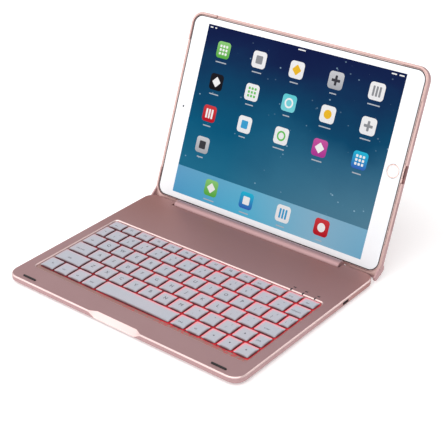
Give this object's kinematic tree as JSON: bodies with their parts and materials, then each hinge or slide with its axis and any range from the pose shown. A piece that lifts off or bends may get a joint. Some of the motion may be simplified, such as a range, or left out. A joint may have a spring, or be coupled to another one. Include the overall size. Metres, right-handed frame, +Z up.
{
  "type": "tablet keyboard case",
  "caption": "Clamshell case for a tablet: slim aluminium keyboard base with backlit keys, barrel hinge and a tray that holds the tablet as a screen.",
  "frame": {"origin": "centre of the underside of the whole model's bounding box, on the surface that the rubber feet stand on", "axes": "+X to the right of the keyboard, +Y from the front edge to the hinge, +Z up"},
  "size_m": [0.2554, 0.2636, 0.1693],
  "materials": {
    "rose_gold": "fine bead-blasted rose gold anodising",
    "tablet_metal": "satin rose gold anodising",
    "key_plastic": "satin painted keycaps with grey legends",
    "black_rubber": "matt",
    "black_plastic": "gloss",
    "steel": "stamped sheet",
    "white_glass": "polished cover glass with a white printed border",
    "screen": "lit display",
    "light_guide": "clear sheet lit red",
    "board": "solder mask",
    "foil": "battery pouch foil",
    "liner": "short microfibre and film",
    "indicator": "frosted light pipe"
  },
  "bodies": {
    "keyboard_base": {"base_top_cover": "rose_gold", "base_bottom_cover": "rose_gold", "key_frame": "rose_gold", "switch_membrane": "liner", "key_plate": "steel", "backlight_guide": "light_guide", "main_board": "board", "left_battery": "foil", "right_battery": "foil", "charging_port": "steel", "left_hinge_bracket": "steel", "right_hinge_bracket": "steel", "cover_screw_1": "steel", "cover_screw_2": "steel", "cover_screw_3": "steel", "cover_screw_4": "steel", "indicator_light_1": "indicator", "indicator_light_2": "indicator", "indicator_light_3": "indicator", "left_bumper": "black_rubber", "right_bumper": "black_rubber", "foot_1": "black_rubber", "foot_2": "black_rubber", "foot_3": "black_rubber", "foot_4": "black_rubber"},
    "screen_tray": {"tablet_tray": "rose_gold", "hinge_barrel": "rose_gold", "tray_liner": "liner"},
    "tablet": {"tablet_housing": "tablet_metal", "tablet_front_glass": "white_glass", "tablet_display": "screen", "tablet_battery": "foil", "rear_camera": "black_plastic"},
    "home_button": {"home_button": "white_glass"},
    "escape_key": {"escape_key": "key_plastic"},
    "function_keys": {"function_keys": "key_plastic"},
    "number_keys": {"number_keys": "key_plastic"},
    "backspace_key": {"backspace_key": "key_plastic"},
    "tab_key": {"tab_key": "key_plastic"},
    "upper_letter_keys": {"upper_letter_keys": "key_plastic"},
    "caps_key": {"caps_key": "key_plastic"},
    "home_letter_keys": {"home_letter_keys": "key_plastic"},
    "enter_key": {"enter_key": "key_plastic"},
    "left_shift_key": {"left_shift_key": "key_plastic"},
    "lower_letter_keys": {"lower_letter_keys": "key_plastic"},
    "arrow_up_key": {"arrow_up_key": "key_plastic"},
    "right_shift_key": {"right_shift_key": "key_plastic"},
    "left_modifier_keys": {"left_modifier_keys": "key_plastic"},
    "space_bar": {"space_bar": "key_plastic"},
    "right_modifier_keys": {"right_modifier_keys": "key_plastic"},
    "arrow_left_key": {"arrow_left_key": "key_plastic"},
    "arrow_down_key": {"arrow_down_key": "key_plastic"},
    "arrow_right_key": {"arrow_right_key": "key_plastic"}
  },
  "joints": [
    {"name": "lid_hinge", "type": "hinge", "parent": "keyboard_base", "child": "screen_tray", "pos_m": [0, 0.04994, 0.00585], "axis": [-1, 0, 0], "range_deg": [-112.9, 8]},
    {"name": "tablet_tilt_out", "type": "hinge", "parent": "screen_tray", "child": "tablet", "pos_m": [0, 0.05646, 0.00691], "axis": [1, 0, 0], "range_deg": [0, 15]},
    {"name": "home_button_press", "type": "slide", "parent": "tablet", "child": "home_button", "axis": [0, 0.9211, -0.3893], "range_m": [0, 0.0004], "stiffness_N_per_m": 250, "springref_m": -0.0004},
    {"name": "escape_press", "type": "slide", "parent": "keyboard_base", "child": "escape_key", "axis": [0, 0, -1], "range_m": [0, 0.0015], "stiffness_N_per_m": 250, "springref_m": -0.0005},
    {"name": "function_row_press", "type": "slide", "parent": "keyboard_base", "child": "function_keys", "axis": [0, 0, -1], "range_m": [0, 0.0015], "stiffness_N_per_m": 250, "springref_m": -0.0005},
    {"name": "number_row_press", "type": "slide", "parent": "keyboard_base", "child": "number_keys", "axis": [0, 0, -1], "range_m": [0, 0.0015], "stiffness_N_per_m": 250, "springref_m": -0.0005},
    {"name": "backspace_press", "type": "slide", "parent": "keyboard_base", "child": "backspace_key", "axis": [0, 0, -1], "range_m": [0, 0.0015], "stiffness_N_per_m": 250, "springref_m": -0.0005},
    {"name": "tab_press", "type": "slide", "parent": "keyboard_base", "child": "tab_key", "axis": [0, 0, -1], "range_m": [0, 0.0015], "stiffness_N_per_m": 250, "springref_m": -0.0005},
    {"name": "upper_row_press", "type": "slide", "parent": "keyboard_base", "child": "upper_letter_keys", "axis": [0, 0, -1], "range_m": [0, 0.0015], "stiffness_N_per_m": 250, "springref_m": -0.0005},
    {"name": "caps_press", "type": "slide", "parent": "keyboard_base", "child": "caps_key", "axis": [0, 0, -1], "range_m": [0, 0.0015], "stiffness_N_per_m": 250, "springref_m": -0.0005},
    {"name": "home_row_press", "type": "slide", "parent": "keyboard_base", "child": "home_letter_keys", "axis": [0, 0, -1], "range_m": [0, 0.0015], "stiffness_N_per_m": 250, "springref_m": -0.0005},
    {"name": "enter_press", "type": "slide", "parent": "keyboard_base", "child": "enter_key", "axis": [0, 0, -1], "range_m": [0, 0.0015], "stiffness_N_per_m": 250, "springref_m": -0.0005},
    {"name": "left_shift_press", "type": "slide", "parent": "keyboard_base", "child": "left_shift_key", "axis": [0, 0, -1], "range_m": [0, 0.0015], "stiffness_N_per_m": 250, "springref_m": -0.0005},
    {"name": "lower_row_press", "type": "slide", "parent": "keyboard_base", "child": "lower_letter_keys", "axis": [0, 0, -1], "range_m": [0, 0.0015], "stiffness_N_per_m": 250, "springref_m": -0.0005},
    {"name": "arrow_up_press", "type": "slide", "parent": "keyboard_base", "child": "arrow_up_key", "axis": [0, 0, -1], "range_m": [0, 0.0015], "stiffness_N_per_m": 250, "springref_m": -0.0005},
    {"name": "right_shift_press", "type": "slide", "parent": "keyboard_base", "child": "right_shift_key", "axis": [0, 0, -1], "range_m": [0, 0.0015], "stiffness_N_per_m": 250, "springref_m": -0.0005},
    {"name": "left_modifiers_press", "type": "slide", "parent": "keyboard_base", "child": "left_modifier_keys", "axis": [0, 0, -1], "range_m": [0, 0.0015], "stiffness_N_per_m": 250, "springref_m": -0.0005},
    {"name": "space_press", "type": "slide", "parent": "keyboard_base", "child": "space_bar", "axis": [0, 0, -1], "range_m": [0, 0.0015], "stiffness_N_per_m": 250, "springref_m": -0.0005},
    {"name": "right_modifiers_press", "type": "slide", "parent": "keyboard_base", "child": "right_modifier_keys", "axis": [0, 0, -1], "range_m": [0, 0.0015], "stiffness_N_per_m": 250, "springref_m": -0.0005},
    {"name": "arrow_left_press", "type": "slide", "parent": "keyboard_base", "child": "arrow_left_key", "axis": [0, 0, -1], "range_m": [0, 0.0015], "stiffness_N_per_m": 250, "springref_m": -0.0005},
    {"name": "arrow_down_press", "type": "slide", "parent": "keyboard_base", "child": "arrow_down_key", "axis": [0, 0, -1], "range_m": [0, 0.0015], "stiffness_N_per_m": 250, "springref_m": -0.0005},
    {"name": "arrow_right_press", "type": "slide", "parent": "keyboard_base", "child": "arrow_right_key", "axis": [0, 0, -1], "range_m": [0, 0.0015], "stiffness_N_per_m": 250, "springref_m": -0.0005}
  ]
}
